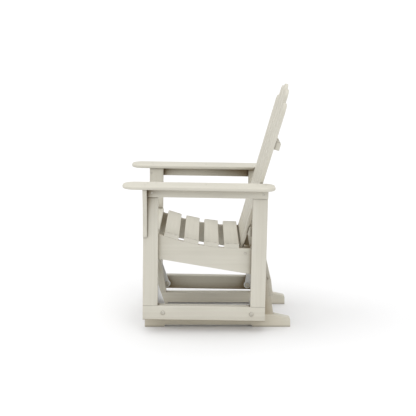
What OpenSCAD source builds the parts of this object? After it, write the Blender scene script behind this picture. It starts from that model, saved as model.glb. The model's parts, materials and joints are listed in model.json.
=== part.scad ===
// Adirondack glider chair in plastic lumber.
// A standing base of two runners and four posts carries a chair on four metal
// swing arms. The chair faces -Y and +X is the sitter's left. The origin is on
// the floor, under the middle of the whole glider. Sizes are in millimetres.

/* [Lumber] */
// Thickness of the frame lumber: runners, posts, rails and legs
frame_t = 38; // [30:1:42]
// Width of the frame lumber
frame_w = 70; // [60:1:78]
// Thickness of the thin boards: cross boards, seat sides, aprons and brackets
board_t = 19; // [15:0.5:22]
// Rounding along the edges of the lumber
edge_r = 3; // [1:0.5:5]

/* [Base] */
// Clear width from the inner face of a side frame to the outer face of a post
hanger_gap = 50; // [44:1:60]
// Height of a runner
runner_h = 62; // [56:1:72]
// Reach of a runner in front of the front post
runner_front_reach = 19; // [5:1:60]
// Reach of a runner behind the rear post
runner_rear_reach = 82; // [40:1:120]
// Height of a runner at its sloping rear end
runner_end_h = 46; // [35:1:52]
// Height of the arch between the feet of a runner
arch_h = 11; // [6:1:20]
// Length of the front foot of a runner
front_foot = 92; // [60:1:140]
// Length of the rear foot of a runner
rear_foot = 180; // [120:1:220]
// Forward rake of the posts in degrees
post_rake = 7.5; // [0:0.5:12]
// Distance of the front post's centre line in front of its pivot
front_post_set = 5; // [0:1:12]
// Distance of the rear post's centre line behind its pivot
rear_post_set = 13; // [0:1:18]
// Height of a post above its pivot
post_top = 30; // [24:1:45]
// Height of the ledges that carry the cross boards, above the runners
ledge_h = 92; // [70:1:105]
// Height of the cross boards
cross_h = 82; // [60:1:95]
// Depth of the notch in a front post at its ledge
notch_d = 16; // [10:1:22]
// Depth of the notch in a rear post at its ledge
rear_notch_d = 9; // [5:1:19]
// Taper of each edge of the front posts towards the top, in degrees
front_post_taper = 1.2; // [0:0.1:2]
// Rounding of the top corners of the posts
post_top_r = 14; // [6:1:20]
// Rounding of the rear end of a runner
runner_tail_r = 12; // [4:1:18]
// Slope of the ends of the arch under a runner, as its length along the floor
foot_toe = 6; // [2:1:12]
// Distance between the two screws that hold a post or a leg
screw_pair = 32; // [24:1:38]

/* [Glide linkage] */
// Distance between the two pivots of a swing arm
swing_len = 190; // [170:1:220]
// Forward lean of the front swing arms at rest, in degrees
front_lean = 18.5; // [12:0.5:22]
// Backward lean of the rear swing arms at rest, in degrees
rear_lean = 10; // [4:0.5:12]
// Distance between the front and rear pivots on a side rail
pivot_span = 418; // [400:1:430]
// Distance from the front end of a side rail to its front pivot
rail_to_pivot = 95.5; // [85:0.5:110]
// Width of a swing arm between its eyes
bar_w = 28; // [22:1:34]
// Thickness of a swing arm
bar_t = 8; // [6:0.5:10]
// Diameter of the eyes of a swing arm
eye_d = 36; // [34:1:40]
// Diameter of the pivot bolts
bolt_d = 10; // [8:0.5:12]
// Diameter of the bushes where they sit in the eyes
bush_d = 20; // [18.5:0.5:24]
// Diameter of the flanges of the bushes
flange_d = 28; // [26:1:32]
// Thickness of the flanges of the bushes
flange_t = 2; // [1:0.5:3]
// Length of the spacer between a post and its swing arm, with the flange
post_spacer = 10; // [7:0.5:12]
// Play of the rear lower pivots in their bushes, on the radius
open_play = 2.5; // [2.4:0.1:3]

/* [Side frames] */
// Clear width between the two side frames
seat_w = 524; // [500:2:560]
// Length of a side rail
rail_len = 578; // [560:1:620]
// Height of the side rails above the floor
rail_z = 61.5; // [40:0.5:90]
// Length of the legs that stand on the rails
leg_len = 567.5; // [520:0.5:620]
// Height of the apron boards under the arms
apron_h = 44; // [35:1:70]

/* [Arms] */
// Width of an arm
arm_w = 140; // [120:1:160]
// Thickness of an arm
arm_t = 16; // [15:0.5:22]
// Rounding along the edges of an arm
arm_edge_r = 6; // [2:0.5:7]
// Overlap of an arm past the inner face of the legs
arm_overlap = 18.5; // [10:0.5:19]
// Reach of an arm in front of the front leg
arm_front = 93.5; // [60:0.5:120]
// Reach of an arm behind the rear leg
arm_rear = 31; // [10:1:60]
// Radius of the front corners of an arm
arm_front_r = 57; // [20:1:65]
// Radius of the rear corners of an arm
arm_rear_r = 50; // [10:1:65]
// Width of a bracket under the arm
bracket_w = 62; // [40:1:75]
// Height of a bracket
bracket_h = 239; // [150:1:300]
// Width of the foot of a bracket
bracket_foot = 16; // [12:1:24]
// Height of the straight edge at the top of a bracket
bracket_nose = 22; // [10:1:40]
// Radius of the hollow in the outer edge of a bracket
bracket_hollow_r = 420; // [300:10:600]

/* [Seat] */
// Height of the lowest line of the seat in the upright chair
seat_z = 426; // [400:1:450]
// Distance from the lowest line of the seat to the rear of the legs
seat_low = 146; // [138:1:153]
// Radius of the hollow of the seat
seat_r = 1050; // [900:10:1400]
// Width of a seat slat
slat_w = 70; // [60:1:74]
// Thickness of a seat slat
slat_t = 19; // [15:0.5:22]
// Gap between the first seat slat and the second, seen from above
first_gap = 25; // [12:1:34]
// Distance of the last seat slat's middle before the lowest line of the seat
last_slat_set = 17; // [8:1:26]
// Height of a side board at its front end
side_front_h = 109; // [95:1:125]
// Height of a side board at its rear end
side_rear_h = 135; // [110:1:145]
// Distance of a side board's front end behind the front of the leg
side_front_inset = 4; // [0:1:10]
// Distance of a side board's rear end before the rear of the leg
side_rear_inset = 12; // [4:1:20]
// Height of the board under the first slat
front_board_h = 100; // [60:1:105]

/* [Back] */
// Backward tilt of the back from the upright, in degrees
back_tilt = 15.4; // [10:0.1:22]
// Gap between the last seat slat and the back
back_gap = 10; // [4:1:16]
// Depth of the back slats' feet under the seat
back_foot = 76; // [60:1:82]
// Length of the middle back slat
back_len = 843; // [700:1:900]
// Radius of the arc that the tops of the back slats follow
crown_r = 375; // [260:5:600]
// Width of a back slat at its foot
back_foot_w = 79; // [60:1:82]
// Width of a back slat at its top
back_top_w = 88; // [70:1:96]
// Thickness of a back slat
back_t = 16; // [13:0.5:20]
// Distance from one back slat to the next at their feet
back_pitch = 88; // [84:0.5:90]
// Fan angle between one back slat and the next, in degrees
fan = 1.63; // [1:0.01:2]
// Height of the lower back rail up the back slats
low_rail_v = 6; // [2:1:12]
// Depth of the lower back rail behind the back slats
low_rail_d = 28; // [24:1:38]
// Height of the middle back rail up the back slats
mid_rail_v = 128; // [110:1:150]
// Height of the upper back brace up the back slats
brace_v = 547; // [420:1:600]
// Height of the upper back brace
brace_h = 36; // [25:1:60]
// Depth of the upper back brace
brace_d = 28; // [18:1:38]
// Half the length of the upper back brace
brace_half = 225; // [180:1:240]

/* [Fasteners] */
// Diameter of the heads of the pivot bolts
head_d = 18; // [16:0.5:20]
// Thickness of the heads of the pivot bolts
head_t = 4; // [3:0.5:5]
// Diameter of the round cap nuts
nut_d = 24; // [20:0.5:27]
// Thickness of the cap nuts
nut_t = 5.5; // [5:0.5:6]
// Thickness of the closed end of a cap nut
nut_cap_t = 1.5; // [1:0.5:2]
// Diameter of the shanks of the wood screws
screw_d = 5; // [4:0.5:6]
// Diameter of the heads of the wood screws
screw_head_d = 10; // [8:0.5:12]
// Length of the wood screws
screw_len = 45; // [40:1:48]
// Length of the screws that hold the upper back brace
short_screw_len = 38; // [30:1:40]
// Length of the long screws through the rails and runners into the posts and legs
long_screw_len = 95; // [80:1:110]
// Depth of the counterbores for the heads of the long screws
sink_d = 14; // [8:1:20]
// Distance between the two screws that hold an arm on a leg
arm_screw_pair = 40; // [34:1:44]
// Set of these two screws behind the middle of the leg
arm_screw_set = 4; // [2:1:6]
// Distance of the apron screws below the arm
apron_screw_drop = 24; // [18:1:28]
// Set of the front apron screw behind the middle of its leg
front_apron_set = 6; // [-4:1:12]
// Set of the rear apron screw behind the middle of its leg
rear_apron_set = 13; // [-4:1:14]
// Grip of the bracket screws in the edge of the bracket
bracket_grip = 22; // [16:1:28]
// Wood left before the point of a screw in the lower back rail
low_rail_cover = 3; // [1:0.5:6]
// Diameter of the dowels
dowel_d = 8; // [6:1:10]
// Length of the dowels
dowel_len = 40; // [30:1:50]

/* [Hidden] */

$fn = 48;

sand = [0.84, 0.82, 0.77];
steel = [0.72, 0.73, 0.74];
nylon = [0.78, 0.79, 0.79];

// Play of a bolt in the hole of a board, and of a turning or seated fit
hole_play = 0.25;
fit_play = 0.05;
// Gap between faces that turn past each other
face_gap = 0.3;
// Overrun of a cutting shape past the face that it cuts
over = 1;

// Across the glider: faces of the side frames, posts and swing arms
frame_in = seat_w / 2;
frame_out = frame_in + frame_t;
side_in = frame_in - board_t;
post_out = frame_in - hanger_gap;
post_in = post_out - frame_t;
bar_x = post_out + post_spacer;
bar_end = bar_x + bar_t;

// Along the chair in its own upright frame
rail_front = -(rail_to_pivot + pivot_span / 2);
rail_rear = rail_front + rail_len;
low_y = rail_front + rail_to_pivot;
low_z = rail_z + frame_w / 2;
leg_z = rail_z + frame_w;
arm_z = leg_z + leg_len;

// The chair leans back because the rear arms hang straighter than the front
chair_lean = asin(swing_len * (cos(rear_lean) - cos(front_lean)) / pivot_span);
upper_z = low_z + swing_len * cos(front_lean);
upper_front_y = low_y - swing_len * sin(front_lean);
rear_low_y = low_y + pivot_span * cos(chair_lean);
rear_low_z = low_z - pivot_span * sin(chair_lean);
upper_rear_y = rear_low_y + swing_len * sin(rear_lean);

// Posts: centre lines at the pivots, and the width of a raked post along Y
front_post_y = upper_front_y - front_post_set;
rear_post_y = upper_rear_y + rear_post_set;
post_half = frame_w / 2 / cos(post_rake);
post_mid = (post_in + post_out) / 2;
function rake_y(centre, z) = centre + (upper_z - z) * tan(post_rake);
function post_front_y(centre, z, taper) =
    rake_y(centre, runner_h) - post_half - (z - runner_h) * tan(post_rake - taper);
function post_rear_y(centre, z, taper) =
    rake_y(centre, runner_h) + post_half - (z - runner_h) * tan(post_rake + taper);
runner_front = rake_y(front_post_y, runner_h) - post_half - runner_front_reach;
runner_rear = rake_y(rear_post_y, runner_h) + post_half + runner_rear_reach;
ledge_z = runner_h + ledge_h;
front_board_y = post_front_y(front_post_y, ledge_z, front_post_taper) + notch_d - board_t;
rear_board_y = post_rear_y(rear_post_y, ledge_z, 0) - rear_notch_d;

// The origin stands under the middle between the arm fronts and runner rears
arm_tip_y = low_y + (rail_front - arm_front - low_y) * cos(chair_lean)
            + (arm_z - low_z) * sin(chair_lean);
middle_y = (arm_tip_y + runner_rear) / 2;

// Seat: the hollow's lowest line, and the circle that the side boards follow
hollow_y = rail_rear - seat_low;
hollow_z = seat_z + seat_r;
side_r = seat_r + slat_t;
chord_r = sqrt(side_r * side_r - slat_w * slat_w / 4) - fit_play;
last_slat = asin(last_slat_set / seat_r);
second_slat = asin((hollow_y - shelf_end() - first_gap - slat_w / 2) / seat_r);
slat_step = (second_slat - last_slat) / 3;
shelf_z = hollow_z - sqrt(side_r * side_r - pow(hollow_y - shelf_end(), 2));
side_low_z = seat_z - slat_t;

// Back: its front face at the foot of the slats
function tilt_rise(v) = v * cos(back_tilt);
last_edge = hollow_y - (seat_r - slat_t / 2) * sin(last_slat) + slat_w / 2;
back_z = seat_z - back_foot;
back_y = last_edge + back_gap - back_foot * tan(back_tilt);

// Rear edge of the first slat's level shelf
function shelf_end() = rail_front + side_front_inset + slat_w;

// Frames of reference

module in_base() {
    translate([0, -middle_y, 0]) children();
}

// The chair in its own upright frame, leaned back about the front lower pivot
module in_chair() {
    in_base()
        translate([0, low_y, low_z]) rotate([-chair_lean, 0, 0]) translate([0, -low_y, -low_z])
            children();
}

// The back slats' frame: X across, Y from the front face backwards, Z up the slats
module in_back() {
    in_chair() translate([0, back_y, back_z]) rotate([-back_tilt, 0, 0]) children();
}

module on_side(side) {
    if (side > 0) children();
    else mirror([1, 0, 0]) children();
}

// Lumber

module rounded_rect(a, b, r) {
    square([a - 2 * r, b], center = true);
    square([a, b - 2 * r], center = true);
    for (i = [-1, 1], j = [-1, 1]) translate([i * (a / 2 - r), j * (b / 2 - r)]) circle(r);
}

// A board with rounded long edges, standing on the origin: a along X, b along Y
module stick_z(length, a, b, r = edge_r) {
    linear_extrude(length) rounded_rect(a, b, r);
}

// The same board lying along Y: a along X, b along Z
module stick_y(length, a, b, r = edge_r) {
    rotate([-90, 0, 0]) stick_z(length, a, b, r);
}

// The same board centred across X: a along Y, b along Z
module stick_x(length, a, b, r = edge_r) {
    translate([-length / 2, 0, 0]) rotate([90, 0, 90]) stick_z(length, a, b, r);
}

// A flat outline drawn in Y and Z, given a thickness from x0 towards +X
module plate_x(x0, t) {
    translate([x0, 0, 0]) rotate([90, 0, 90]) linear_extrude(t) children();
}

// A cylinder along X from x0 to x1
module rod_x(x0, x1, r) {
    translate([x0, 0, 0]) rotate([0, 90, 0]) cylinder(h = x1 - x0, r = r);
}

// Screws

// Rim of a screw's head, and the cone at its point
screw_rim = 0.6;
screw_point = 4;

// A countersunk wood screw pointing along +Z with its head's face at z = 0
module screw(length = screw_len) {
    rotate_extrude() polygon([[0, 0], [screw_head_d / 2, 0], [screw_head_d / 2, screw_rim],
                              [screw_d / 2, screw_rim + (screw_head_d - screw_d) / 2],
                              [screw_d / 2, length - screw_point], [0, length - face_gap]]);
}

// The hole for it, with a counterbore of the given depth before the head
module screw_hole(length = screw_len, sink = 0) {
    head_r = screw_head_d / 2 + hole_play;
    shank_r = screw_d / 2 + fit_play;
    rotate_extrude() polygon([[0, -sink - over], [head_r, -sink - over], [head_r, screw_rim],
                              [shank_r, screw_rim + head_r - shank_r], [shank_r, length],
                              [0, length]]);
}

// Base

// Places of the two screws of a post or a leg, along Y from its middle
pair_y = [-screw_pair / 2, screw_pair / 2];

module at_post_screws(centre) {
    for (y = pair_y) translate([post_mid, rake_y(centre, runner_h) + y, sink_d]) children();
}

// One runner: two feet, a low arch between them and a sloping rounded tail
module runner(side) {
    tail_y = runner_rear - runner_tail_r;
    tail_z = runner_end_h - runner_tail_r;
    slope_y = runner_rear - runner_rear_reach;
    arch_y0 = runner_front + front_foot;
    arch_y1 = runner_rear - rear_foot;
    color(sand) in_base() on_side(side) difference() {
        plate_x(post_in, frame_t) difference() {
            union() {
                polygon([[runner_front, 0], [runner_rear, 0], [runner_rear, tail_z],
                         [tail_y, runner_end_h], [slope_y, runner_h],
                         [runner_front, runner_h]]);
                translate([tail_y, tail_z]) circle(runner_tail_r);
            }
            polygon([[arch_y0, -over], [arch_y0 + foot_toe, arch_h],
                     [arch_y1 - foot_toe, arch_h], [arch_y1, -over]]);
        }
        for (centre = [front_post_y, rear_post_y]) at_post_screws(centre)
            screw_hole(long_screw_len, sink_d);
    }
}

module runner_screws() {
    color(steel) in_base() for (side = [-1, 1], centre = [front_post_y, rear_post_y])
        on_side(side) at_post_screws(centre) screw(long_screw_len);
}

// Outline of a raked post in Y and Z, from the runner to its rounded top
module post_outline(centre, taper) {
    top_z = upper_z + post_top;
    round_z = top_z - post_top_r;
    front = post_front_y(centre, round_z, taper);
    rear = post_rear_y(centre, round_z, taper);
    polygon([[post_front_y(centre, runner_h, taper), runner_h],
             [post_rear_y(centre, runner_h, taper), runner_h], [rear, round_z],
             [rear - post_top_r, top_z], [front + post_top_r, top_z], [front, round_z]]);
    for (y = [front + post_top_r, rear - post_top_r]) translate([y, round_z]) circle(post_top_r);
}

// The raked frame of a cross board: its origin is the board's lower front edge
module at_ledge(board_y) {
    translate([0, board_y, ledge_z]) rotate([post_rake, 0, 0]) children();
}

// Screw places on the cross boards, as heights above the ledge
cross_screw_z = [cross_h * 0.27, cross_h * 0.73];

// A post with its notch for a cross board, its pivot hole and its screw holes
module post(side, centre, taper, pivot_y, board_y, facing) {
    color(sand) in_base() on_side(side) difference() {
        plate_x(post_in, frame_t) difference() {
            post_outline(centre, taper);
            translate([board_y, ledge_z]) rotate(post_rake) {
                if (facing < 0) translate([-frame_w, 0]) square([frame_w + board_t, cross_h]);
                else square([frame_w, frame_w * 3]);
            }
        }
        translate([0, pivot_y, upper_z])
            rod_x(post_in - over, post_out + over, bolt_d / 2 + hole_play);
        at_ledge(board_y) for (z = cross_screw_z) translate([post_mid, board_t / 2, z])
            rotate([facing * 90, 0, 0]) cylinder(h = screw_len, r = screw_d / 2 + fit_play);
        at_post_screws(centre) screw_hole(long_screw_len);
    }
}

module front_post(side) {
    post(side, front_post_y, front_post_taper, upper_front_y, front_board_y, -1);
}

module rear_post(side) {
    post(side, rear_post_y, 0, upper_rear_y, rear_board_y, 1);
}

// A board across the base with two countersunk screw holes at each end
module cross_board(board_y, facing) {
    color(sand) in_base() at_ledge(board_y) difference() {
        translate([0, board_t / 2, cross_h / 2]) stick_x(2 * post_out, board_t, cross_h);
        at_cross_screws(facing) screw_hole();
    }
}

// Places of a cross board's screws, in its outer face and pointing into the posts
module at_cross_screws(facing) {
    for (side = [-1, 1], z = cross_screw_z)
        translate([side * post_mid, facing > 0 ? board_t : 0, z])
            rotate([facing * 90, 0, 0]) children();
}

module cross_board_screws() {
    color(steel) in_base() {
        at_ledge(front_board_y) at_cross_screws(-1) screw();
        at_ledge(rear_board_y) at_cross_screws(1) screw();
    }
}

// Glide linkage

// Places of the four pivots on one side, as [y, z]
upper_pivots = [[upper_front_y, upper_z], [upper_rear_y, upper_z]];
lower_pivots = [[low_y, low_z], [rear_low_y, rear_low_z]];

// A button-head bolt along X: the shank from x0 to x1 and the head past x1
module bolt(x0, x1) {
    rod_x(x0, x1, bolt_d / 2);
    translate([x1, 0, 0]) rotate([0, 90, 0]) difference() {
        union() {
            cylinder(h = head_t * 0.4, r = head_d / 2);
            translate([0, 0, head_t * 0.4])
                cylinder(h = head_t * 0.6, r1 = head_d / 2, r2 = head_d / 2 - head_t * 0.9);
        }
        translate([0, 0, head_t / 2]) cylinder(h = head_t, d = bolt_d * 0.6, $fn = 6);
    }
}

// A round cap nut: its closed face at x0, its flat face towards +X at x0 + nut_t
module nut(x0) {
    translate([x0, 0, 0]) rotate([0, 90, 0]) difference() {
        union() {
            cylinder(h = nut_t * 0.5, r1 = nut_d / 2 - nut_t * 0.8, r2 = nut_d / 2);
            translate([0, 0, nut_t * 0.5]) cylinder(h = nut_t * 0.5, r = nut_d / 2);
        }
        translate([0, 0, nut_cap_t]) cylinder(h = nut_t, r = bolt_d / 2 + fit_play);
    }
}

module sleeve(x0, x1) {
    difference() {
        rod_x(x0, x1, bush_d / 2);
        rod_x(x0 - over, x1 + over, bolt_d / 2 + fit_play);
    }
}

// Faces beside the swing arms that the bolts, nuts and spacers stop at
inner_face = bar_x - flange_t - face_gap;
outer_face = bar_end + flange_t + face_gap;

module at_pivots(pivots) {
    for (side = [-1, 1], p = pivots) on_side(side) translate([0, p[0], p[1]]) children();
}

module upper_pivot_bolts() {
    color(steel) in_base() at_pivots(upper_pivots)
        bolt(post_in - nut_t + nut_cap_t, outer_face);
}

module upper_pivot_spacers() {
    color(nylon) in_base() at_pivots(upper_pivots) sleeve(post_out, inner_face);
}

module upper_pivot_nuts() {
    color(steel) in_base() at_pivots(upper_pivots) nut(post_in - nut_t);
}

module lower_pivot_bolts() {
    color(steel) in_base() at_pivots(lower_pivots)
        bolt(inner_face - nut_t + nut_cap_t, frame_out);
}

module lower_pivot_spacers() {
    color(nylon) in_base() at_pivots(lower_pivots) sleeve(outer_face, frame_in);
}

module lower_pivot_nuts() {
    color(steel) in_base() at_pivots(lower_pivots) nut(inner_face - nut_t);
}

// A flat bar with a round eye at each end, hung from its lower eye's place
module swing_arm(side, pivot, lean) {
    color(steel) in_base() on_side(side) translate([0, pivot[0], pivot[1]]) rotate([lean, 0, 0])
        plate_x(bar_x, bar_t) difference() {
            union() {
                translate([-bar_w / 2, 0]) square([bar_w, swing_len]);
                circle(eye_d / 2);
                translate([0, swing_len]) circle(eye_d / 2);
            }
            circle(bush_d / 2 + fit_play);
            translate([0, swing_len]) circle(bush_d / 2 + fit_play);
        }
}

// Two flanged half bushes, pushed into an eye from both sides
module bush_pair(bore_r) {
    barrel = bar_t / 2 - fit_play;
    for (end = [0, 1]) translate([bar_x + bar_t / 2, 0, 0]) mirror([end, 0, 0]) difference() {
        union() {
            rod_x(fit_play, barrel + fit_play, bush_d / 2);
            rod_x(bar_t / 2, bar_t / 2 + flange_t, flange_d / 2);
        }
        rod_x(-over, bar_t / 2 + flange_t + over, bore_r);
    }
}

module bushes(side, pivot, lean, low_bore_r) {
    color(nylon) in_base() on_side(side) translate([0, pivot[0], pivot[1]]) rotate([lean, 0, 0]) {
        bush_pair(low_bore_r);
        translate([0, 0, swing_len]) bush_pair(bolt_d / 2 + fit_play);
    }
}

module front_bushes(side) {
    bushes(side, lower_pivots[0], front_lean, bolt_d / 2 + fit_play);
}

// The rear lower pivots have play, because they close the linkage
module rear_bushes(side) {
    bushes(side, lower_pivots[1], -rear_lean, bolt_d / 2 + open_play);
}

// Side frames

// Middle of a leg along Y, for the front and the rear legs
front_leg_y = rail_front + frame_w / 2;
rear_leg_y = rail_rear - frame_w / 2;
leg_ys = [front_leg_y, rear_leg_y];
leg_mid = frame_in + frame_t / 2;

// The pair of screws up through a rail into each leg
module at_leg_screws(leg_y) {
    for (y = pair_y) translate([leg_mid, leg_y + y, rail_z + sink_d]) children();
}

module side_rail(side) {
    color(sand) in_chair() on_side(side) difference() {
        translate([leg_mid, rail_front, rail_z + frame_w / 2])
            stick_y(rail_len, frame_t, frame_w);
        for (y = [low_y, low_y + pivot_span]) translate([0, y, low_z])
            rod_x(frame_in - over, frame_out + over, bolt_d / 2 + hole_play);
        for (leg_y = leg_ys) at_leg_screws(leg_y) screw_hole(long_screw_len, sink_d);
    }
}

// A leg with holes for the screws of the rail, apron, arm and side board
module leg(side, leg_y) {
    color(sand) in_chair() on_side(side) difference() {
        translate([leg_mid, leg_y, leg_z]) stick_z(leg_len, frame_t, frame_w);
        at_leg_screws(leg_y) screw_hole(long_screw_len);
        at_apron_screw(leg_y) screw_hole();
        at_arm_screws(leg_y) screw_hole();
        translate([side_in, leg_y, side_bolt_z(leg_y)]) bolt_hole();
        if (leg_y == front_leg_y) at_bracket_screws() screw_hole(bracket_screw_len);
        else at_dowels() dowel(fit_play);
    }
}

module leg_screws() {
    color(steel) in_chair() for (side = [-1, 1], leg_y = leg_ys) on_side(side)
        at_leg_screws(leg_y) screw(long_screw_len);
}

module at_apron_screw(leg_y) {
    set = leg_y == front_leg_y ? front_apron_set : rear_apron_set;
    translate([frame_out + board_t, leg_y + set, arm_z - apron_screw_drop]) rotate([0, -90, 0])
        children();
}

// The long board outside the legs under an arm, butted behind the bracket
module apron(side) {
    y0 = rail_front + board_t;
    color(sand) in_chair() on_side(side) difference() {
        translate([frame_out + board_t / 2, y0, arm_z - apron_h / 2])
            stick_y(rail_rear - y0, board_t, apron_h);
        for (leg_y = leg_ys) at_apron_screw(leg_y) screw_hole();
        at_arm_edge_screws() screw_hole();
    }
}

module apron_screws() {
    color(steel) in_chair() for (side = [-1, 1], leg_y = leg_ys) on_side(side)
        at_apron_screw(leg_y) screw();
}

// Arms

// A bracket stands edge-on outside the front leg: wide under the arm, a curved
// hollow in its outer edge and a rounded foot
module arm_bracket(side) {
    foot_z = arm_z - bracket_h;
    knee = [frame_out + bracket_w, arm_z - bracket_nose];
    heel = [frame_out + bracket_foot, foot_z + bracket_foot];
    span = norm(knee - heel);
    along = (knee - heel) / span;
    centre = (knee + heel) / 2
             + [along[1], -along[0]] * sqrt(bracket_hollow_r * bracket_hollow_r - span * span / 4);
    color(sand) in_chair() on_side(side) difference() {
        translate([0, rail_front + board_t, 0])
            rotate([90, 0, 0]) linear_extrude(board_t) difference() {
                union() {
                    polygon([[frame_out, foot_z + bracket_foot], heel, knee,
                             [frame_out + bracket_w, arm_z], [frame_out, arm_z]]);
                    intersection() {
                        translate([frame_out, foot_z + bracket_foot]) circle(bracket_foot);
                        translate([frame_out, foot_z]) square(bracket_foot);
                    }
                }
                translate(centre) circle(bracket_hollow_r, $fn = 180);
            }
        at_bracket_screws() screw_hole(bracket_screw_len);
        at_arm_edge_screws() screw_hole();
    }
}

// Screws from the inner face of the front leg out into the bracket's edge
bracket_screw_len = frame_t + bracket_grip;
bracket_drops = [bracket_h * 0.11, bracket_h * 0.58];
module at_bracket_screws() {
    for (drop = bracket_drops)
        translate([frame_in, rail_front + board_t / 2, arm_z - drop]) rotate([0, 90, 0]) children();
}

module bracket_screws() {
    color(steel) in_chair() for (side = [-1, 1]) on_side(side)
        at_bracket_screws() screw(bracket_screw_len);
}

// Screws down through the arm: a pair into each leg, one into the apron's
// middle and one into the bracket
arm_top = arm_z + arm_t;
module at_arm_screws(leg_y) {
    for (y = [arm_screw_set - arm_screw_pair / 2, arm_screw_set + arm_screw_pair / 2])
        translate([leg_mid, leg_y + y, arm_top]) rotate([180, 0, 0]) children();
}

module at_arm_edge_screws() {
    for (place = [[frame_out + board_t / 2, (front_leg_y + rear_leg_y) / 2],
                  [frame_out + bracket_w * 0.6, rail_front + board_t / 2]])
        translate([place[0], place[1], arm_top]) rotate([180, 0, 0]) children();
}

module arm_screws() {
    color(steel) in_chair() for (side = [-1, 1]) on_side(side) {
        for (leg_y = leg_ys) at_arm_screws(leg_y) screw();
        at_arm_edge_screws() screw();
    }
}

// Plan of an arm with its rounded corners
module arm_plan() {
    x0 = frame_in - arm_overlap;
    x1 = x0 + arm_w;
    y0 = rail_front - arm_front;
    y1 = rail_rear + arm_rear;
    translate([x0 + arm_front_r, y0]) square([arm_w - 2 * arm_front_r, arm_front_r]);
    translate([x0, y0 + arm_front_r]) square([arm_w, y1 - y0 - arm_front_r - arm_rear_r]);
    translate([x0 + arm_rear_r, y1 - arm_rear_r]) square([arm_w - 2 * arm_rear_r, arm_rear_r]);
    for (x = [x0 + arm_front_r, x1 - arm_front_r])
        translate([x, y0 + arm_front_r]) circle(arm_front_r);
    for (x = [x0 + arm_rear_r, x1 - arm_rear_r])
        translate([x, y1 - arm_rear_r]) circle(arm_rear_r);
}

module armrest(side) {
    length = arm_front + rail_len + arm_rear;
    mid_x = frame_in - arm_overlap + arm_w / 2;
    color(sand) in_chair() on_side(side) difference() {
        intersection() {
            translate([0, 0, arm_z]) linear_extrude(arm_t) arm_plan();
            translate([mid_x, rail_front - arm_front, arm_z + arm_t / 2])
                stick_y(length, arm_w, arm_t, arm_edge_r);
            translate([mid_x, rail_front - arm_front + length / 2, arm_z + arm_t / 2])
                stick_x(arm_w, length, arm_t, arm_edge_r);
        }
        for (leg_y = leg_ys) at_arm_screws(leg_y) screw_hole();
        at_arm_edge_screws() screw_hole();
    }
}

// Seat

// Under edge of a side board, falling from its front end to its rear end
side_y0 = rail_front + side_front_inset;
side_y1 = rail_rear - side_rear_inset;
function side_under_z(y) = let (z0 = shelf_z - side_front_h, z1 = side_low_z - side_rear_h)
    z0 + (z1 - z0) * (y - side_y0) / (side_y1 - side_y0);
function side_bolt_z(y) = side_under_z(y) + side_front_h / 2;

module bolt_hole() {
    rod_x(-over, board_t + frame_t * 0.8, screw_d / 2 + hole_play);
}

// Where a bolt holds the lower back rail: half way up it and through its middle
low_rail_y = back_y + (low_rail_v + frame_w / 2) * sin(back_tilt)
             + (back_t + low_rail_d / 2) * cos(back_tilt);
low_rail_z = back_z + (low_rail_v + frame_w / 2) * cos(back_tilt)
             - (back_t + low_rail_d / 2) * sin(back_tilt);

// A side board: a level shelf for the first slat, a hollow for the others and
// a straight under edge that falls to the rear
module seat_side(side) {
    color(sand) in_chair() on_side(side) difference() {
        plate_x(side_in, board_t) difference() {
            polygon([[side_y0, side_under_z(side_y0)], [side_y1, side_under_z(side_y1)],
                     [side_y1, side_low_z], [hollow_y, side_low_z], [hollow_y, shelf_z],
                     [side_y0, shelf_z]]);
            translate([hollow_y, hollow_z]) circle(side_r, $fn = 360);
        }
        for (y = leg_ys) translate([side_in, y, side_bolt_z(y)]) bolt_hole();
        translate([0, low_rail_y, low_rail_z])
            rod_x(side_in - over, frame_in + over, screw_d / 2 + hole_play);
        for (number = [1:5]) in_slat(number) at_slat_screws() screw_hole();
    }
}

// Bolts of the side boards: two into the legs from inside, one into the lower
// back rail from outside
module seat_side_bolts() {
    color(steel) in_chair() for (side = [-1, 1]) on_side(side) {
        for (y = leg_ys) translate([side_in, y, side_bolt_z(y)]) {
            rod_x(0, board_t + frame_t * 0.7, screw_d / 2);
            rod_x(-head_t, 0, head_d / 3);
        }
        translate([0, low_rail_y, low_rail_z]) {
            rod_x(side_in - frame_t, frame_in, screw_d / 2);
            rod_x(frame_in, frame_in + head_t / 2, head_d / 3);
        }
    }
}

module seat_front_board() {
    color(sand) in_chair() difference() {
        translate([0, side_y0 + board_t / 2, shelf_z - front_board_h / 2])
            stick_x(2 * side_in, board_t, front_board_h);
        in_slat(1) at_front_board_screws() screw_hole();
    }
}

// The frame of a slat with its origin in the middle of its top face: slat 1
// lies level on the shelf, slats 2 to 5 lie along the hollow
module in_slat(number) {
    turn = last_slat + (5 - number) * slat_step;
    if (number == 1)
        translate([0, side_y0 + slat_w / 2, shelf_z + slat_t]) children();
    else
        translate([0, hollow_y, hollow_z]) rotate([-turn, 0, 0])
            translate([0, 0, slat_t - chord_r]) children();
}

// Two screws near an end, down into the side board
module at_slat_screws() {
    for (y = [-slat_w / 4, slat_w / 4])
        translate([side_in + board_t / 2, y, 0]) rotate([180, 0, 0]) children();
}

// Three screws along slat 1, down into the front board
module at_front_board_screws() {
    for (x = [-side_in * 0.6, 0, side_in * 0.6])
        translate([x, (board_t - slat_w) / 2, 0]) rotate([180, 0, 0]) children();
}

module seat_slat(number) {
    length = number == 1 ? seat_w - 2 * fit_play : seat_w;
    color(sand) in_chair() in_slat(number) difference() {
        translate([0, 0, -slat_t / 2]) stick_x(length, slat_w, slat_t);
        for (side = [-1, 1]) on_side(side) at_slat_screws() screw_hole();
        if (number == 1) at_front_board_screws() screw_hole();
    }
}

module seat_slat_screws() {
    color(steel) in_chair() {
        for (number = [1:5], side = [-1, 1]) on_side(side) in_slat(number)
            at_slat_screws() screw();
        in_slat(1) at_front_board_screws() screw();
    }
}

// Back

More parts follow.
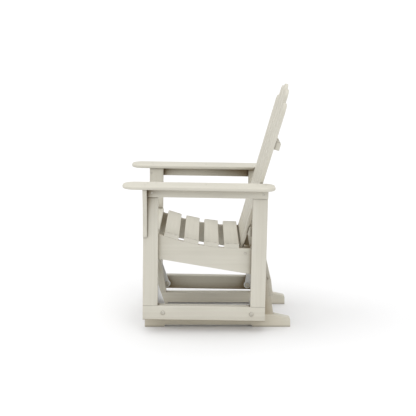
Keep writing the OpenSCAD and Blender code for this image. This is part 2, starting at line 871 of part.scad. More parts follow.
// A rail behind the back slats, a distance v up them, h high and d deep
module back_rail(v, half, h, d, length = screw_len) {
    difference() {
        translate([0, back_t + d / 2, v + h / 2]) stick_x(2 * half, d, h);
        for (place = [-2:2]) in_back_slat(place) at_back_screw(v + h / 2) screw_hole(length);
    }
}

module back_lower_rail() {
    color(sand) difference() {
        in_back() back_rail(low_rail_v, side_in, frame_w, low_rail_d, low_screw_len);
        in_chair() for (side = [-1, 1]) on_side(side) translate([0, low_rail_y, low_rail_z])
            rod_x(side_in - frame_t - over, side_in + over, screw_d / 2 + hole_play);
    }
}

module back_middle_rail() {
    color(sand) difference() {
        in_back() back_rail(mid_rail_v, frame_in, frame_t, frame_w);
        in_chair() for (side = [-1, 1]) on_side(side) at_dowels() dowel(fit_play);
    }
}

module back_upper_brace() {
    color(sand) in_back() back_rail(brace_v, brace_half, brace_h, brace_d, short_screw_len);
}

// Two blind dowels in each end of the middle rail
dowel_depths = [0.42, 0.82];
module at_dowels() {
    for (depth = dowel_depths)
        translate([frame_in, back_y + (mid_rail_v + frame_t / 2) * sin(back_tilt)
                             + (back_t + frame_w * depth) * cos(back_tilt),
                   back_z + (mid_rail_v + frame_t / 2) * cos(back_tilt)
                   - (back_t + frame_w * depth) * sin(back_tilt)])
            children();
}

module dowel(play = 0) {
    half = dowel_len / 2 + play;
    rod_x(-half, half, dowel_d / 2 + play);
}

module middle_rail_dowels() {
    color(steel) in_chair() for (side = [-1, 1]) on_side(side) at_dowels() dowel();
}

// The frame of a back slat: place 0 is the middle one, + places lie to the left
module in_back_slat(place) {
    translate([place * back_pitch, 0, 0]) rotate([0, place * fan, 0]) children();
}

// Where a slat's screw enters its front face, a height v up the back
module at_back_screw(v) {
    translate([0, 0, v]) rotate([-90, 0, 0]) children();
}

// A tapered back slat with a round top
module back_slat(place) {
    swing = back_pitch * abs(place) + back_len * sin(abs(place) * fan);
    length = back_len - (crown_r - sqrt(crown_r * crown_r - swing * swing));
    top_r = back_top_w / 2;
    color(sand) in_back() in_back_slat(place) difference() {
        translate([0, back_t, 0]) rotate([90, 0, 0]) linear_extrude(back_t) {
            polygon([[-back_foot_w / 2, 0], [back_foot_w / 2, 0], [top_r, length - top_r],
                     [-top_r, length - top_r]]);
            translate([0, length - top_r]) circle(top_r, $fn = 96);
        }
        at_back_screw(low_rail_v + frame_w / 2) screw_hole();
        at_back_screw(mid_rail_v + frame_t / 2) screw_hole();
        at_back_screw(brace_v + brace_h / 2) screw_hole();
    }
}

low_screw_len = back_t + low_rail_d - low_rail_cover;
module back_slat_screws() {
    color(steel) in_back() for (place = [-2:2]) in_back_slat(place) {
        at_back_screw(low_rail_v + frame_w / 2) screw(low_screw_len);
        at_back_screw(mid_rail_v + frame_t / 2) screw();
        at_back_screw(brace_v + brace_h / 2) screw(short_screw_len);
    }
}

runner(1);  // runner_left
runner(-1);  // runner_right
front_post(1);  // front_post_left
front_post(-1);  // front_post_right
rear_post(1);  // rear_post_left
rear_post(-1);  // rear_post_right
cross_board(front_board_y, -1);  // front_cross_board
cross_board(rear_board_y, 1);  // rear_cross_board
cross_board_screws();
runner_screws();
upper_pivot_bolts();
upper_pivot_spacers();
upper_pivot_nuts();
swing_arm(1, lower_pivots[0], front_lean);  // front_swing_arm_left
swing_arm(-1, lower_pivots[0], front_lean);  // front_swing_arm_right
swing_arm(1, lower_pivots[1], -rear_lean);  // rear_swing_arm_left
swing_arm(-1, lower_pivots[1], -rear_lean);  // rear_swing_arm_right
front_bushes(1);  // front_bushes_left
front_bushes(-1);  // front_bushes_right
rear_bushes(1);  // rear_bushes_left
rear_bushes(-1);  // rear_bushes_right
lower_pivot_bolts();
lower_pivot_spacers();
lower_pivot_nuts();
side_rail(1);  // side_rail_left
side_rail(-1);  // side_rail_right
leg(1, front_leg_y);  // front_leg_left
leg(-1, front_leg_y);  // front_leg_right
leg(1, rear_leg_y);  // rear_leg_left
leg(-1, rear_leg_y);  // rear_leg_right
leg_screws();
apron(1);  // apron_left
apron(-1);  // apron_right
apron_screws();
arm_bracket(1);  // arm_bracket_left
arm_bracket(-1);  // arm_bracket_right
bracket_screws();
armrest(1);  // armrest_left
armrest(-1);  // armrest_right
arm_screws();
seat_side(1);  // seat_side_left
seat_side(-1);  // seat_side_right
seat_side_bolts();
seat_front_board();
seat_slat(1);  // seat_slat_1
seat_slat(2);  // seat_slat_2
seat_slat(3);  // seat_slat_3
seat_slat(4);  // seat_slat_4
seat_slat(5);  // seat_slat_5
seat_slat_screws();
back_lower_rail();
back_middle_rail();
middle_rail_dowels();
back_upper_brace();
back_slat(0);  // back_slat_middle
back_slat(1);  // back_slat_inner_left
back_slat(-1);  // back_slat_inner_right
back_slat(2);  // back_slat_outer_left
back_slat(-2);  // back_slat_outer_right
back_slat_screws();
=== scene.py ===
import bpy
import json
import math
from mathutils import Matrix, Vector


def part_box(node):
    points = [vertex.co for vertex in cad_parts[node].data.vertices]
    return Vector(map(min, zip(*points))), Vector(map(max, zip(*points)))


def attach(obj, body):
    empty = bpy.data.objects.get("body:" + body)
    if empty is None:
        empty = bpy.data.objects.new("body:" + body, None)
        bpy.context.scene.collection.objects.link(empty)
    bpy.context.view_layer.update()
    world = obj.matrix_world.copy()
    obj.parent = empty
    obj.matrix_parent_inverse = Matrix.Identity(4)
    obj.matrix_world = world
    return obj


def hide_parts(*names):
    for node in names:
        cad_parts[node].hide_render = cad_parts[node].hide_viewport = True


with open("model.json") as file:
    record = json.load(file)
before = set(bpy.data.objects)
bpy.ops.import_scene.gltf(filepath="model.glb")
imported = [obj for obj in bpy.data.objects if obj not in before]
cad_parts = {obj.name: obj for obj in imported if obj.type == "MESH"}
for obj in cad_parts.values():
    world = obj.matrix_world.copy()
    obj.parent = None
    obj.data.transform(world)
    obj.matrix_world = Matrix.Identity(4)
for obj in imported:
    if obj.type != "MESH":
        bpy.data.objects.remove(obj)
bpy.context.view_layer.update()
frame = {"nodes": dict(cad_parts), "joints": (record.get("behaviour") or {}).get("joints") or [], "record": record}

# Camera
# The photograph's view: square to the sitter's left side, from above the top of the back and
# looking down through a long lens. Place, pitch and lens were fitted to the photograph's edges.
camera_lens = 91.47
camera_pitch = math.radians(11.23)
camera_place = (5.102, -0.0017, 1.555)
camera_data = bpy.data.cameras.new("studio_camera")
camera_data.sensor_width = 36
camera_data.lens = camera_lens
camera = bpy.data.objects.new("studio_camera", camera_data)
camera.location = camera_place
camera.rotation_euler = (math.pi / 2 - camera_pitch, 0, math.pi / 2)
bpy.context.collection.objects.link(camera)
bpy.context.scene.camera = camera

# Studio
# A plain pale floor that runs out of sight under an even white sky, and five large soft lamps:
# the strongest overhead and before the chair, weaker ones at the camera, low behind and beyond.
sky_strength = 0.72
lamp_spread = math.radians(55)
floor_size = 2000
floor_colour = (0.81, 0.81, 0.815, 1)
scene = bpy.context.scene
scene.view_settings.view_transform = "Standard"
sky = bpy.data.worlds.new("studio_sky")
sky.use_nodes = True
sky.node_tree.nodes["Background"].inputs["Color"].default_value = (1, 1, 1, 1)
sky.node_tree.nodes["Background"].inputs["Strength"].default_value = sky_strength
scene.world = sky

for lamp_name, lamp_from, lamp_energy in (("top_lamp", (0, 0, 1), 0.78),
                                          ("camera_lamp", (1, 0, 1), 0.54),
                                          ("front_lamp", (0, -1, 1), 0.7),
                                          ("far_lamp", (-1, 0, 1), 0.2),
                                          ("low_lamp", (0.7, 0.7, 0.25), 0.5)):
    lamp_data = bpy.data.lights.new(lamp_name, "SUN")
    lamp_data.energy = lamp_energy
    lamp_data.angle = lamp_spread
    lamp = bpy.data.objects.new(lamp_name, lamp_data)
    lamp.rotation_euler = Vector(lamp_from).to_track_quat("Z", "Y").to_euler()
    bpy.context.collection.objects.link(lamp)

bpy.ops.object.select_all(action="DESELECT")
bpy.ops.mesh.primitive_plane_add(size=floor_size)
floor = bpy.context.object
floor.name = "studio_floor"
floor_paint = bpy.data.materials.new("floor_paint")
floor_paint.use_nodes = True
floor_shader = floor_paint.node_tree.nodes["Principled BSDF"]
floor_shader.inputs["Base Color"].default_value = floor_colour
floor_shader.inputs["Roughness"].default_value = 0.9
floor.data.materials.append(floor_paint)

# Runners
# Two skids of solid plastic lumber, 38 by 62 mm, that carry the glider. Each is sawn from one
# plank, with two feet, a low arch between them and a sloping tail, and its edges are routed.
lumber_colour = (0.57, 0.547, 0.474, 1)
worn_colour = (0.63, 0.61, 0.54, 1)
# Painted shade: the nook colours darken surfaces that nearby parts shelter, and the joint colour darkens the
# joints between boards.
joint_shade_colour = (0.1, 0.08, 0.06, 1)
deep_nook_shade = (0.4, 0.32, 0.215, 1)
faint_nook_shade = (0.97, 0.93, 0.86, 1)
nook_reach = 0.3
grain_stretch = 0.03
grain_depth = 0.0004
routed_ease = 0.0015
ease_steps = 2
sharp_edge = math.radians(35)
flat_within = math.radians(0.4)
weld_reach = 0.00001
body_by_node = {}
for body_name, node_names in frame["record"]["behaviour"]["bodies"].items():
    for node_name in node_names:
        body_by_node[node_name] = body_name


def shaded(colour, share):
    """A darker or lighter shade of a colour."""
    return [share * part for part in colour[:3]] + [1]


def pattern(material, place, scale, detail=2):
    """An uneven pattern of light and dark over the given coordinates."""
    noise = material.node_tree.nodes.new("ShaderNodeTexNoise")
    noise.inputs["Scale"].default_value = scale
    noise.inputs["Detail"].default_value = detail
    material.node_tree.links.new(place, noise.inputs["Vector"])
    return noise


def fade(material, value, low, low_colour, high, high_colour):
    """A colour that goes from one to another as a value rises between two levels."""
    ramp = material.node_tree.nodes.new("ShaderNodeValToRGB")
    first, last = ramp.color_ramp.elements
    first.position, first.color = low, low_colour
    last.position, last.color = high, high_colour
    material.node_tree.links.new(value, ramp.inputs["Fac"])
    return ramp.outputs["Color"]


def lay_over(material, blend, amount, colour, layer):
    """A colour with another one laid over it."""
    mix = material.node_tree.nodes.new("ShaderNodeMixRGB")
    mix.blend_type = blend
    mix.inputs["Fac"].default_value = amount
    material.node_tree.links.new(colour, mix.inputs["Color1"])
    material.node_tree.links.new(layer, mix.inputs["Color2"])
    return mix.outputs["Color"]


def levelled(material, value, low, high, start=0, stop=1):
    """A value brought from the span start..stop to the span low..high."""
    span = material.node_tree.nodes.new("ShaderNodeMapRange")
    span.inputs["From Min"].default_value = start
    span.inputs["From Max"].default_value = stop
    span.inputs["To Min"].default_value = low
    span.inputs["To Max"].default_value = high
    material.node_tree.links.new(value, span.inputs["Value"])
    return span.outputs["Result"]


def shelter(material, reach):
    """How open a surface is to what stands within reach: 1 in the open, 0 deep in a joint."""
    nook = material.node_tree.nodes.new("ShaderNodeAmbientOcclusion")
    nook.inputs["Distance"].default_value = reach
    return nook.outputs["AO"]


def relief(material, height, strength, depth):
    """Gives the surface a fine height that the light picks out."""
    bump = material.node_tree.nodes.new("ShaderNodeBump")
    bump.inputs["Strength"].default_value = strength
    bump.inputs["Distance"].default_value = depth
    material.node_tree.links.new(height, bump.inputs["Height"])
    shader = material.node_tree.nodes["Principled BSDF"]
    material.node_tree.links.new(bump.outputs["Normal"], shader.inputs["Normal"])


def plastic_lumber(name, along, nook_shade_colour=deep_nook_shade, joint_reach=0.012):
    """Sand-coloured plastic lumber, fine brushed grain along the given direction, painted shade in nooks and
    joints.
    """
    material = bpy.data.materials.new(name)
    material.use_nodes = True
    nodes = material.node_tree.nodes
    links = material.node_tree.links
    shader = nodes["Principled BSDF"]
    shader.inputs["Specular IOR Level"].default_value = 0.2

    place = nodes.new("ShaderNodeTexCoord")
    turn = nodes.new("ShaderNodeMapping")
    turn.inputs["Rotation"].default_value = (
        Vector(along).rotation_difference(Vector((1, 0, 0))).to_euler())
    links.new(place.outputs["Object"], turn.inputs["Vector"])
    stretch = nodes.new("ShaderNodeMapping")
    stretch.inputs["Scale"].default_value = (grain_stretch, 1, 1)
    links.new(turn.outputs["Vector"], stretch.inputs["Vector"])
    grain = pattern(material, stretch.outputs["Vector"], scale=620, detail=4)
    grain.inputs["Roughness"].default_value = 0.65
    streak = pattern(material, stretch.outputs["Vector"], scale=90, detail=3)
    cloud = pattern(material, turn.outputs["Vector"], scale=3.5)

    # Slow clouds of colour, streaks along the grain, and paler edges where they get rubbed.
    colour = fade(material, cloud.outputs["Fac"], 0.3, shaded(lumber_colour, 0.955),
                  0.7, shaded(lumber_colour, 1.03))
    colour = lay_over(material, "OVERLAY", 0.13, colour, streak.outputs["Fac"])
    edges = nodes.new("ShaderNodeNewGeometry")
    rubbed = nodes.new("ShaderNodeMixRGB")
    rubbed.inputs["Color2"].default_value = worn_colour
    links.new(levelled(material, edges.outputs["Pointiness"], 0, 0.5, 0.53, 0.62),
              rubbed.inputs["Fac"])
    links.new(colour, rubbed.inputs["Color1"])
    colour = rubbed.outputs["Color"]
    # Painted shade: darker and browner where nearby parts shelter the surface, and dark in the joints between
    # boards.
    for reach, low, dark, high in ((nook_reach, 0.36, nook_shade_colour, 0.65),
                                   (joint_reach, 0.1, joint_shade_colour, 0.95)):
        shade = fade(material, shelter(material, reach), low, dark, high, (1, 1, 1, 1))
        colour = lay_over(material, "MULTIPLY", 1, colour, shade)
    links.new(colour, shader.inputs["Base Color"])
    links.new(levelled(material, streak.outputs["Fac"], 0.46, 0.66), shader.inputs["Roughness"])
    relief(material, grain.outputs["Fac"], 0.35, grain_depth)
    return material


def clean_copy(node, suffix):
    """A welded copy of a CAD node's mesh, with its flat faces made whole."""
    bpy.ops.object.select_all(action="DESELECT")
    piece = bpy.data.objects.new(node + suffix, frame["nodes"][node].data.copy())
    piece.data.materials.clear()
    bpy.context.collection.objects.link(piece)
    bpy.context.view_layer.objects.active = piece
    piece.select_set(True)
    bpy.ops.object.mode_set(mode="EDIT")
    bpy.ops.mesh.select_all(action="SELECT")
    bpy.ops.mesh.remove_doubles(threshold=weld_reach)
    bpy.ops.mesh.dissolve_limited(angle_limit=flat_within)
    bpy.ops.object.mode_set(mode="OBJECT")
    return piece


def soften(piece, ease):
    """Rounds every sharp edge of a piece, and shades the rest smooth."""
    bpy.ops.object.select_all(action="DESELECT")
    bpy.context.view_layer.objects.active = piece
    piece.select_set(True)
    edge = piece.modifiers.new("edge", "BEVEL")
    edge.width = ease
    edge.segments = ease_steps
    edge.limit_method = "ANGLE"
    edge.angle_limit = sharp_edge
    edge.miter_outer = "MITER_ARC"
    bpy.ops.object.modifier_apply(modifier="edge")
    bpy.ops.object.shade_smooth_by_angle(angle=sharp_edge)
    piece.modifiers.new("normals", "WEIGHTED_NORMAL").keep_sharp = True
    bpy.ops.object.modifier_apply(modifier="normals")


def stands_for(piece, node, material):
    """Gives a finished piece its material and its body, and hides the CAD node it stands for."""
    piece.data.materials.clear()
    piece.data.materials.append(material)
    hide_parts(node)
    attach(piece, body_by_node[node])


def finished_copy(node, suffix, ease, material):
    """A piece with the CAD node's own outline and every edge eased."""
    piece = clean_copy(node, suffix)
    soften(piece, ease)
    stands_for(piece, node, material)


def planed_board(node, material, ease=routed_ease):
    """A board as it comes from the router."""
    finished_copy(node, "_lumber", ease, material)


# The runners get only a faint painted nook shade, standing in for light thrown back by the floor.
skid = plastic_lumber("lumber_skid", (0, 1, 0), faint_nook_shade)
for node in ("runner_left", "runner_right"):
    planed_board(node, skid)

# Posts
# Four raked posts of the same lumber. They stand on the runners, are screwed to them from below
# and carry the upper pivots; each has a notch with a ledge for its cross board.
post_rake = math.radians(7.5)
# The posts get a middling painted shade in their nooks.
post_nook_shade = (0.7, 0.62, 0.5, 1)
sawn_ease = 0.0025
raked = plastic_lumber("lumber_raked", (0, -math.sin(post_rake), math.cos(post_rake)), post_nook_shade)
for node in ("front_post_left", "front_post_right", "rear_post_left", "rear_post_right"):
    planed_board(node, raked, sawn_ease)

# Cross boards
# Two 19 mm boards that tie the left and right posts together. They sit on the posts' ledges and
# are held by two countersunk screws at each end.
crosswise = plastic_lumber("lumber_crosswise", (1, 0, 0))
for node in ("front_cross_board", "rear_cross_board"):
    planed_board(node, crosswise)

# Fasteners
# Stainless countersunk wood screws with a six-lobed recess, driven flush. One is modelled, and a
# copy goes to each screw of the CAD model, with its head's face and its length taken from there.
head_r = 0.005
shank_r = 0.0025
head_rim = 0.0006
recess_r = 0.0021
recess_deep = 0.0018
recess_taper = 0.8
lobe_share = 0.16
stub_len = 0.01
screw_sides = 24
face_band = 0.003
same_reach = 0.0001
head_reach = 0.012


def steel(name, colour, rough, scale, metallic=1):
    """Satin steel with fine scratches and slightly uneven gloss."""
    material = bpy.data.materials.new(name)
    material.use_nodes = True
    links = material.node_tree.links
    shader = material.node_tree.nodes["Principled BSDF"]
    shader.inputs["Metallic"].default_value = metallic
    place = material.node_tree.nodes.new("ShaderNodeTexCoord").outputs["Object"]
    mottle = pattern(material, place, scale, detail=5).outputs["Fac"]
    links.new(fade(material, mottle, 0.3, shaded(colour, 0.86), 0.7, shaded(colour, 1)),
              shader.inputs["Base Color"])
    links.new(levelled(material, mottle, rough - 0.08, rough + 0.1), shader.inputs["Roughness"])
    scratch = pattern(material, place, scale * 8).outputs["Fac"]
    relief(material, scratch, 0.15, 0.0001)
    return material


stainless = steel("stainless_steel", (0.6, 0.575, 0.51), rough=0.5, scale=300)


def take_up(piece):
    """Makes one piece the active one, with nothing of its mesh selected."""
    bpy.ops.object.select_all(action="DESELECT")
    bpy.context.view_layer.objects.active = piece
    piece.select_set(True)
    bpy.ops.object.mode_set(mode="EDIT")
    bpy.ops.mesh.select_all(action="DESELECT")
    bpy.ops.object.mode_set(mode="OBJECT")


def pick_faces(piece, test):
    """Selects the faces that pass a test of their centre and normal, and goes to edit mode."""
    take_up(piece)
    for face in piece.data.polygons:
        face.select = test(face.center, face.normal)
    bpy.ops.object.mode_set(mode="EDIT")
    bpy.ops.mesh.select_mode(type="FACE")


def model_screw():
    """A screw with a short stub of a shank along +Z, and the middle of its head's rim at 0."""
    bpy.ops.object.select_all(action="DESELECT")
    bpy.ops.mesh.primitive_cylinder_add(vertices=screw_sides, radius=head_r, depth=head_rim)
    screw = bpy.context.object
    # The cone under the head, and the stub of the shank.
    pick_faces(screw, lambda centre, normal: normal.z > 0.5)
    cone = head_r - shank_r
    bpy.ops.mesh.extrude_region_move(TRANSFORM_OT_translate={"value": (0, 0, cone)})
    narrow = shank_r / head_r
    bpy.ops.transform.resize(value=(narrow, narrow, 1))
    bpy.ops.mesh.extrude_region_move(
        TRANSFORM_OT_translate={"value": (0, 0, stub_len - head_rim - cone)})
    bpy.ops.object.mode_set(mode="OBJECT")
    # A ring in the head's face, drawn in to six lobes and then pushed down to make the recess.
    pick_faces(screw, lambda centre, normal: normal.z < -0.5)
    ring_r = recess_r * 1.35
    bpy.ops.mesh.inset(thickness=head_r - ring_r)
    bpy.ops.object.mode_set(mode="OBJECT")
    for vertex in screw.data.vertices:
        radius = vertex.co.xy.length
        if vertex.co.z < 0 and radius < ring_r * 1.1:
            lobes = 1 + lobe_share * math.cos(6 * math.atan2(vertex.co.y, vertex.co.x))
            vertex.co.xy *= recess_r * lobes / radius
    pick_faces(screw, lambda centre, normal: normal.z < -0.5 and centre.xy.length < recess_r / 9)
    bpy.ops.mesh.extrude_region_move(TRANSFORM_OT_translate={"value": (0, 0, recess_deep)})
    bpy.ops.transform.resize(value=(recess_taper, recess_taper, 1))
    bpy.ops.object.mode_set(mode="OBJECT")
    bpy.ops.object.shade_smooth_by_angle(angle=math.radians(30))
    return screw


def separate_solids(node):
    """The corners of each solid of a CAD node that holds several."""
    piece = clean_copy(node, "_solids")
    bpy.ops.object.mode_set(mode="EDIT")
    bpy.ops.mesh.select_all(action="SELECT")
    bpy.ops.mesh.separate(type="LOOSE")
    bpy.ops.object.mode_set(mode="OBJECT")
    parts = list(bpy.context.selected_objects)
    solids = [[vertex.co.copy() for vertex in part.data.vertices] for part in parts]
    for part in parts:
        bpy.data.objects.remove(part)
    return solids


def farthest(corners, point):
    """The corner that lies farthest from a point."""
    return max(corners, key=lambda corner: (corner - point).length)


def screw_place(corners):
    """The middle of a CAD screw's head, its tip, and a corner on the rim of its head."""
    middle = sum(corners, Vector()) / len(corners)
    one = farthest(corners, middle)
    other = farthest(corners, one)
    # Fewer corners lie about the tip than about the head, whose face is flat and faces away.
    near_one = [corner for corner in corners if (corner - one).length < head_reach]
    near_other = [corner for corner in corners if (corner - other).length < head_reach]
    tip, rim = (one, other) if len(near_one) < len(near_other) else (other, one)
    along = (tip - rim).normalized()
    face = [corner for corner in corners if abs((corner - rim).dot(along)) < face_band
            and abs((corner - tip).length - (rim - tip).length) < same_reach]
    return sum(face, Vector()) / len(face), tip, rim


def set_screws(node):
    """A copy of the screw at each screw of a CAD node, as long as that one."""
    copies = []
    for corners in separate_solids(node):
        centre, tip, _ = screw_place(corners)
        length = (tip - centre).length
        copy = bpy.data.objects.new("screw", screw_model.data.copy())
        for vertex in copy.data.vertices:
            if vertex.co.z > stub_len * 0.9:
                vertex.co.z = length
        turn = Vector((0, 0, 1)).rotation_difference(tip - centre).to_matrix().to_4x4()
        copy.data.transform(Matrix.Translation(centre) @ turn)
        bpy.context.collection.objects.link(copy)
        copies.append(copy)
    bpy.ops.object.select_all(action="DESELECT")
    for copy in copies:
        copy.select_set(True)
    bpy.context.view_layer.objects.active = copies[0]
    bpy.ops.object.join()
    copies[0].name = node + "_steel"
    stands_for(copies[0], node, stainless)


screw_model = model_screw()
for node in ("cross_board_screws", "runner_screws", "leg_screws", "apron_screws",
             "bracket_screws", "arm_screws", "seat_slat_screws", "back_slat_screws"):
    set_screws(node)
bpy.data.objects.remove(screw_model)

# Swing arms and pivots
# Four zinc-plated flat bars, 28 by 8 mm, with an eye at each end. They hang from bolts through
# the posts, and the rails hang from their lower eyes, each eye with two flanged nylon bushes.
bar_ease = 0.0008
bush_ease = 0.0003
bolt_ease = 0.0004
zinc = steel("zinc_plate", (0.84, 0.85, 0.86), rough=0.4, scale=120, metallic=0.5)
nylon = bpy.data.materials.new("light_nylon")
nylon.use_nodes = True
nylon_shader = nylon.node_tree.nodes["Principled BSDF"]
nylon_shader.inputs["Base Color"].default_value = (0.66, 0.67, 0.67, 1)
nylon_shader.inputs["Roughness"].default_value = 0.45
for node in ("front_swing_arm_left", "front_swing_arm_right",
             "rear_swing_arm_left", "rear_swing_arm_right"):
    finished_copy(node, "_bar", bar_ease, zinc)
for node in ("front_bushes_left", "front_bushes_right", "rear_bushes_left", "rear_bushes_right",
             "upper_pivot_spacers", "lower_pivot_spacers"):
    finished_copy(node, "_nylon", bush_ease, nylon)
for node in ("upper_pivot_bolts", "lower_pivot_bolts", "upper_pivot_nuts", "lower_pivot_nuts",
             "seat_side_bolts"):
    finished_copy(node, "_steel", bolt_ease, stainless)

# Side frames
# On each side a 38 by 70 mm rail hangs from two swing arms and carries two upright legs. A thin
# apron joins the legs outside under the arm, and a sawn bracket stands edge-on before it.
# The rails, aprons and arms get a deep brown painted shade in their sheltered nooks.
rail_nook_shade = (0.33, 0.25, 0.155, 1)
lengthwise = plastic_lumber("lumber_lengthwise", (0, 1, 0), rail_nook_shade)
upright = plastic_lumber("lumber_upright", (0, 0, 1))
for side in ("left", "right"):
    planed_board("side_rail_" + side, lengthwise)
    planed_board("front_leg_" + side, upright, sawn_ease)
    planed_board("rear_leg_" + side, upright, sawn_ease)
    planed_board("apron_" + side, lengthwise)
    planed_board("arm_bracket_" + side, upright)

# Armrests
# Broad 16 mm planks with rounded corners and rounded edges all round, screwed down into the
# legs, the apron and the bracket. The chair, and so each arm, leans back by a degree.
swing_len = 0.19
pivot_span = 0.418
front_lean = math.radians(18.5)
rear_lean = math.radians(10)
chair_lean = math.asin(swing_len * (math.cos(rear_lean) - math.cos(front_lean)) / pivot_span)
glide = next(joint for joint in frame["joints"] if joint["name"] == "chair_glide")
chair_place = (Matrix.Translation(glide["pos_m"]) @ Matrix.Rotation(-chair_lean, 4, "X"))
arm_w = 0.14
arm_t = 0.016
arm_len = 0.7025
arm_inner = 0.2435
arm_front = -0.189
arm_under = 0.6025
arm_front_r = 0.057
arm_rear_r = 0.05
corner_steps = 14
bullnose_r = 0.006
bullnose_steps = 6
seat_play = 0.00025
seat_above = 0.0014
seat_sides = 32
box_margin = 0.001


def pick_edges(piece, test):
    """Selects the edges whose two ends pass a test, and goes to edit mode."""
    take_up(piece)
    corners = piece.data.vertices
    for line in piece.data.edges:
        line.select = test(corners[line.vertices[0]].co, corners[line.vertices[1]].co)
    bpy.ops.object.mode_set(mode="EDIT")
    bpy.ops.mesh.select_mode(type="EDGE")


def bore_for_screws(piece, node):
    """Cuts a countersunk seat for each screw of a CAD node that enters a piece."""
    low = [min(corner[axis] for corner in piece.bound_box) - box_margin for axis in range(3)]
    high = [max(corner[axis] for corner in piece.bound_box) + box_margin for axis in range(3)]
    cutter_r = head_r + seat_play + seat_above
    for corners in separate_solids(node):
        centre, tip, rim = screw_place(corners)
        if not all(low[axis] < rim[axis] < high[axis] for axis in range(3)):
            continue
        way = (tip - centre).normalized()
        bpy.ops.object.select_all(action="DESELECT")
        bpy.ops.mesh.primitive_cone_add(vertices=seat_sides, radius1=cutter_r, radius2=0,
                                        depth=cutter_r)
        cutter = bpy.context.object
        reach = cutter_r / 2 - seat_above + head_rim
        turn = Vector((0, 0, 1)).rotation_difference(way).to_matrix().to_4x4()
        cutter.data.transform(Matrix.Translation(centre + way * reach) @ turn)
        cut = piece.modifiers.new("seat", "BOOLEAN")
        cut.operation = "DIFFERENCE"
        cut.object = cutter
        bpy.context.view_layer.objects.active = piece
        bpy.ops.object.modifier_apply(modifier="seat")
        bpy.data.objects.remove(cutter)


def model_arm(side):
    """An arm beside the chair's upright frame, measured from the front lower pivot."""
    bpy.ops.object.select_all(action="DESELECT")
    bpy.ops.mesh.primitive_cube_add(size=1)
    arm = bpy.context.object
    arm.data.transform(Matrix.Diagonal((arm_w, arm_len, arm_t, 1)))
    ends_y = arm_len / 2 * 0.99
    for end, radius in ((-1, arm_front_r), (1, arm_rear_r)):
        pick_edges(arm, lambda a, b: abs(a.z - b.z) > arm_t / 2 and a.y * end > ends_y)
        bpy.ops.mesh.bevel(offset=radius, segments=corner_steps, affect="EDGES")
        bpy.ops.object.mode_set(mode="OBJECT")
    pick_edges(arm, lambda a, b: abs(a.z - b.z) < arm_t / 9)
    bpy.ops.mesh.bevel(offset=bullnose_r, segments=bullnose_steps, affect="EDGES")
    bpy.ops.object.mode_set(mode="OBJECT")
    bpy.ops.object.shade_smooth_by_angle(angle=sharp_edge)
    middle = Vector((side * (arm_inner + arm_w / 2), arm_front + arm_len / 2,
                     arm_under + arm_t / 2))
    arm.data.transform(chair_place @ Matrix.Translation(middle))
    return arm


for node, side in (("armrest_left", 1), ("armrest_right", -1)):
    arm = model_arm(side)
    arm.name = node + "_lumber"
    bore_for_screws(arm, "arm_screws")
    stands_for(arm, node, lengthwise)

# Seat
# Two curved side boards between the legs carry five slats of 19 by 70 mm lumber, each screwed
# down at both ends. The first slat lies level on the front and has a board below it.
seat_ease = 0.0006
# The painted shade in the seat's joints reaches only 0.6 mm, so the slat ends show no dark line.
seat_joint = 0.0006
side_lumber = plastic_lumber("lumber_seat_side", (0, 1, 0), joint_reach=seat_joint)
for side in ("left", "right"):
    planed_board("seat_side_" + side, side_lumber, seat_ease)
# The seat slats get only a faint painted nook shade.
seat_lumber = plastic_lumber("lumber_seat", (1, 0, 0), faint_nook_shade, seat_joint)
for node in ["seat_front_board"] + ["seat_slat_%d" % number for number in range(1, 6)]:
    planed_board(node, seat_lumber, seat_ease)

# Back
# Five tapered slats with round tops that fan out as they rise. They are screwed from the front
# to a lower and a middle rail between the side frames and to a brace behind them.
back_t = 0.016
back_len = 0.843
crown_r = 0.375
foot_w = 0.079
top_w = 0.088
back_pitch = 0.088
fan = math.radians(1.63)
back_tilt = math.radians(15.4) + chair_lean
round_top = 0.985
round_steps = 20
slat_edge_r = 0.003
slat_edge_steps = 3
for node in ("back_lower_rail", "back_middle_rail", "back_upper_brace"):
    planed_board(node, crosswise)
# The middle rail's dowels are blind, so they keep the CAD model's mesh and only get their steel.
frame["nodes"]["middle_rail_dowels"].data.materials[0] = stainless
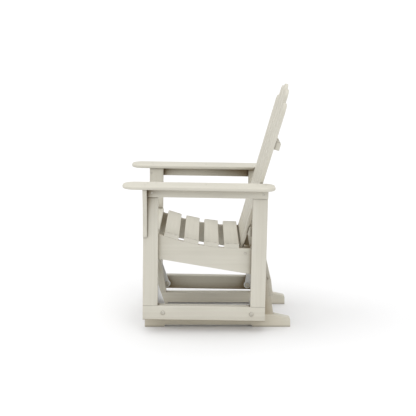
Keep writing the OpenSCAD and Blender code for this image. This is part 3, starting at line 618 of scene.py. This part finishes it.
# The back slats get only a faint painted nook shade.
tilted = plastic_lumber("lumber_tilted", (0, math.sin(back_tilt), math.cos(back_tilt)),
                        faint_nook_shade)
# All the slats are placed from the lowest edge of the middle one.
foot_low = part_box("back_slat_middle")[0]
back_foot = Vector((0, foot_low.y, foot_low.z + back_t * math.sin(back_tilt)))
back_place = Matrix.Translation(back_foot) @ Matrix.Rotation(-back_tilt, 4, "X")


def model_back_slat(place):
    """A back slat in its place; place 0 is the middle one and + lies to the sitter's left."""
    out = back_pitch * abs(place) + back_len * math.sin(abs(place) * fan)
    length = back_len - (crown_r - math.sqrt(crown_r ** 2 - out ** 2))
    bpy.ops.object.select_all(action="DESELECT")
    bpy.ops.mesh.primitive_cube_add(size=1)
    slat = bpy.context.object
    slat.data.transform(Matrix.Translation((0, 0.5, 0.5)))
    slat.data.transform(Matrix.Diagonal((foot_w, back_t, length, 1)))
    pick_faces(slat, lambda centre, normal: normal.z > 0.5)
    bpy.ops.transform.resize(value=(top_w / foot_w, 1, 1))
    bpy.ops.object.mode_set(mode="OBJECT")
    pick_edges(slat, lambda a, b: min(a.z, b.z) > length * 0.99 and abs(a.y - b.y) > back_t / 2)
    bpy.ops.mesh.bevel(offset=top_w / 2 * round_top, segments=round_steps, affect="EDGES")
    bpy.ops.object.mode_set(mode="OBJECT")
    pick_edges(slat, lambda a, b: abs(a.y - b.y) < back_t / 9)
    bpy.ops.mesh.bevel(offset=slat_edge_r, segments=slat_edge_steps, affect="EDGES")
    bpy.ops.object.mode_set(mode="OBJECT")
    bpy.ops.object.shade_smooth_by_angle(angle=sharp_edge)
    slat.data.transform(back_place @ Matrix.Translation((place * back_pitch, 0, 0))
                        @ Matrix.Rotation(place * fan, 4, "Y"))
    return slat


for node, place in (("back_slat_outer_right", -2), ("back_slat_inner_right", -1),
                    ("back_slat_middle", 0), ("back_slat_inner_left", 1),
                    ("back_slat_outer_left", 2)):
    slat = model_back_slat(place)
    slat.name = node + "_lumber"
    bore_for_screws(slat, "back_slat_screws")
    stands_for(slat, node, tilted)
